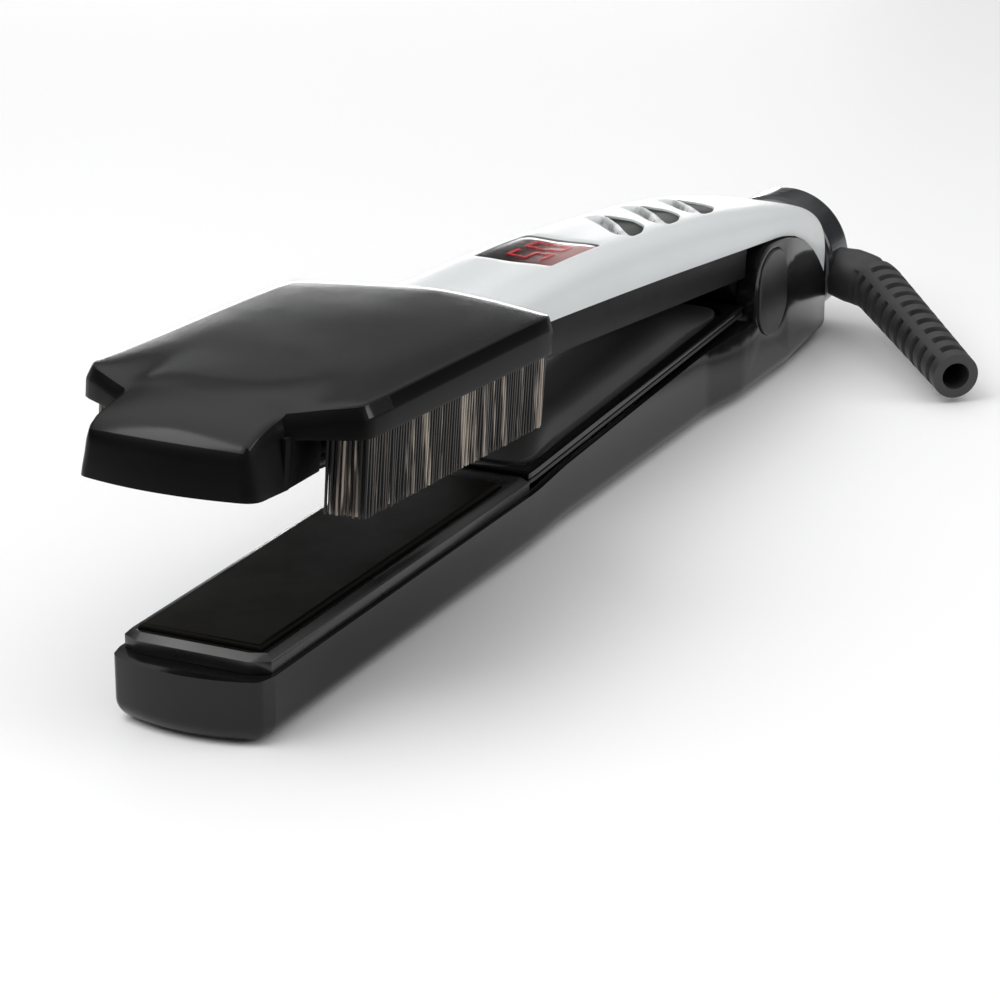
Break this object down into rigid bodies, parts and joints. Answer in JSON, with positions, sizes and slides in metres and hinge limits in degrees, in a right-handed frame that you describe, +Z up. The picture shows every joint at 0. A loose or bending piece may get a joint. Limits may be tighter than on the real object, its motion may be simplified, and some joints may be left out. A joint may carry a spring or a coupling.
{
  "type": "hair straightener with clip-on brush head",
  "caption": "Hair straightener with two heated plates, a slide-on brush head, white grip cover with display and three buttons, and a swivel cord sleeve.",
  "frame": {"origin": "under the hinge pin, on the face the lower arm rests on", "axes": "+X from the nose to the cord end, +Y to the left, +Z up"},
  "size_m": [0.3079, 0.0977, 0.0639],
  "materials": {
    "casing_black": "moulded, gloss",
    "cover_white": "pearl white lacquer over moulded plastic",
    "smoked_window": "smoked clear plastic",
    "button_dark": "fine satin",
    "brush_black": "moulded, gloss",
    "bristle_nylon": "nylon, slightly glossy",
    "plate_coating": "aluminium with a dark ceramic coating",
    "surround_grey": "heat resistant plastic, satin",
    "insulator": "moulded heat resistant plastic",
    "heater_metal": "plain",
    "spring_steel": "plain",
    "pin_steel": "plain",
    "sensor_glass": "glass bead",
    "fuse_metal": "plain",
    "board_green": "circuit board with solder mask",
    "display_body": "moulded",
    "switch_body": "moulded",
    "cap_dark": "satin",
    "ring_dark": "moulded, gloss",
    "sleeve_rubber": "moulded, matt"
  },
  "bodies": {
    "lower_arm": {"lower_casing": "casing_black", "lower_cover": "casing_black", "hinge_pin": "pin_steel", "hinge_caps": "cap_dark", "hinge_spring": "spring_steel", "lower_surround": "surround_grey", "lower_plate": "plate_coating", "lower_holder": "insulator", "lower_heater": "heater_metal", "lower_heater_clip": "spring_steel", "lower_sensor": "sensor_glass", "thermal_fuse": "fuse_metal", "power_board": "board_green", "casing_screws": "pin_steel", "board_screws": "pin_steel", "swivel_socket": "insulator"},
    "upper_arm": {"upper_casing": "casing_black", "upper_cover": "cover_white", "display_window": "smoked_window", "upper_surround": "surround_grey", "upper_plate": "plate_coating", "upper_holder": "insulator", "upper_heater": "heater_metal", "upper_heater_clip": "spring_steel", "upper_sensor": "sensor_glass", "control_board": "board_green", "control_screws": "pin_steel", "display_module": "display_body", "button_switches": "switch_body"},
    "front_button": {"button_front": "button_dark"},
    "middle_button": {"button_middle": "button_dark"},
    "rear_button": {"button_rear": "button_dark"},
    "brush_head": {"brush_shell": "brush_black", "brush_frame_right": "brush_black", "brush_frame_left": "brush_black", "bristles_right": "bristle_nylon", "bristles_left": "bristle_nylon"},
    "swivel": {"swivel_ring": "ring_dark", "swivel_spindle": "ring_dark", "swivel_keeper": "pin_steel", "strain_relief": "sleeve_rubber"}
  },
  "joints": [
    {"name": "arm_hinge", "type": "hinge", "parent": "lower_arm", "child": "upper_arm", "pos_m": [0, 0, 0.0223], "axis": [0, 1, 0], "range_deg": [-7, 0], "stiffness_Nm_per_rad": 0.4, "springref_deg": 85.94},
    {"name": "front_press", "type": "slide", "parent": "upper_arm", "child": "front_button", "axis": [-0.1219, 0, -0.9925], "range_m": [0, 0.0006], "stiffness_N_per_m": 1200, "springref_m": -0.0004},
    {"name": "middle_press", "type": "slide", "parent": "upper_arm", "child": "middle_button", "axis": [-0.1219, 0, -0.9925], "range_m": [0, 0.0006], "stiffness_N_per_m": 1200, "springref_m": -0.0004},
    {"name": "rear_press", "type": "slide", "parent": "upper_arm", "child": "rear_button", "axis": [-0.1219, 0, -0.9925], "range_m": [0, 0.0006], "stiffness_N_per_m": 1200, "springref_m": -0.0004},
    {"name": "brush_slide", "type": "slide", "parent": "upper_arm", "child": "brush_head", "axis": [-0.9925, 0, 0.1219], "range_m": [0, 0.11]},
    {"name": "cord_swivel", "type": "hinge", "parent": "lower_arm", "child": "swivel", "pos_m": [0.0499, 0, 0.0166], "axis": [1, 0, 0], "continuous": true}
  ]
}
